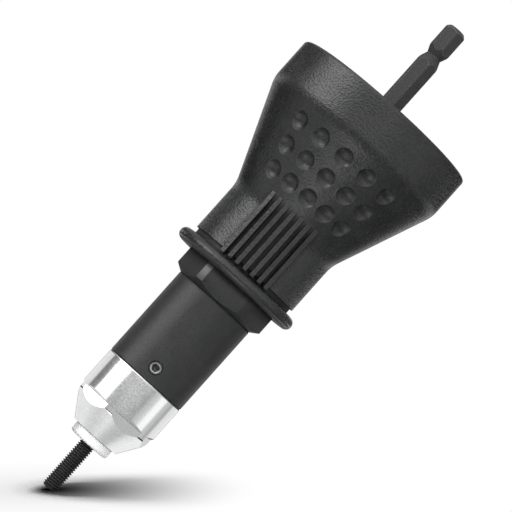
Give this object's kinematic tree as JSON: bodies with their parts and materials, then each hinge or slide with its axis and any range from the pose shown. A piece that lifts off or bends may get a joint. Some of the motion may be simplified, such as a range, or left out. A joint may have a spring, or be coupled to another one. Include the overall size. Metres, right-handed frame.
{
  "type": "rivet nut drill adaptor",
  "caption": "Drill-driven rivet nut setting tool: hex shank, bell-shaped handle, lock nut, barrel, bright nose and a threaded mandrel that spins and draws back.",
  "frame": {"origin": "centre of the anvil's front face, where the threaded mandrel leaves it", "axes": "+Z along the tool's axis from the nose to the drive shank, -Y towards the face with the grub screw"},
  "size_m": [0.061, 0.061, 0.1773],
  "materials": {
    "handle_plastic": "fine-grained moulded black plastic",
    "black_steel": "satin black oxide",
    "mandrel_steel": "oiled black oxide",
    "nose_chrome": "bright plated",
    "bright_steel": "turned steel",
    "spring_steel": "spring steel",
    "bronze": "machined bronze",
    "seal_rubber": "matte"
  },
  "bodies": {
    "housing": {"handle": "handle_plastic", "core_tube": "black_steel", "core_screws": "black_steel", "thrust_washer_front": "bright_steel", "bearing_outer_ring": "bright_steel", "bearing_circlip": "spring_steel", "bearing_shield": "seal_rubber"},
    "barrel_group": {"barrel": "black_steel", "nose_sleeve": "nose_chrome", "anvil": "nose_chrome", "grub_screw": "bright_steel"},
    "lock_nut": {"lock_nut": "black_steel"},
    "spindle": {"spindle": "black_steel", "drive_nut": "bronze", "drive_pins": "bright_steel", "thrust_washer_rear": "bright_steel", "clutch_spring": "spring_steel", "bearing_inner_ring": "bright_steel", "spindle_circlip": "spring_steel"},
    "thrust_set": {"thrust_cage": "bronze", "thrust_balls": "bright_steel"},
    "bearing_set": {"bearing_cage": "bronze", "bearing_balls": "bright_steel"},
    "clutch": {"clutch_ring": "bronze"},
    "pull_rod": {"pull_rod": "bright_steel", "stop_ring": "spring_steel", "mandrel": "mandrel_steel", "mandrel_cap": "bright_steel"}
  },
  "joints": [
    {"name": "barrel_adjust", "type": "slide", "parent": "housing", "child": "barrel_group", "axis": [0, 0, -1], "range_m": [0, 0.005]},
    {"name": "lock_nut_run", "type": "slide", "parent": "housing", "child": "lock_nut", "axis": [0, 0, -1], "range_m": [0, 0.005]},
    {"name": "drive_spin", "type": "hinge", "parent": "housing", "child": "spindle", "pos_m": [0, 0, 0.094], "axis": [0, 0, -1], "range_deg": [0, 1920]},
    {"name": "thrust_set_spin", "type": "hinge", "parent": "housing", "child": "thrust_set", "pos_m": [0, 0, 0.04275], "axis": [0, 0, -1], "range_deg": [0, 960]},
    {"name": "bearing_set_spin", "type": "hinge", "parent": "housing", "child": "bearing_set", "pos_m": [0, 0, 0.094], "axis": [0, 0, -1], "range_deg": [0, 768]},
    {"name": "mandrel_spin", "type": "hinge", "parent": "housing", "child": "clutch", "pos_m": [0, 0, 0.067], "axis": [0, 0, -1], "continuous": true},
    {"name": "pull_stroke", "type": "slide", "parent": "clutch", "child": "pull_rod", "axis": [0, 0, 1], "range_m": [0, 0.008]}
  ],
  "couplings": [
    {"joint": "lock_nut_run", "follows": "barrel_adjust", "ratio": 1},
    {"joint": "thrust_set_spin", "follows": "drive_spin", "ratio": 0.5},
    {"joint": "bearing_set_spin", "follows": "drive_spin", "ratio": 0.4},
    {"joint": "pull_stroke", "follows": "drive_spin", "m_per_rad": 0.00023873}
  ]
}
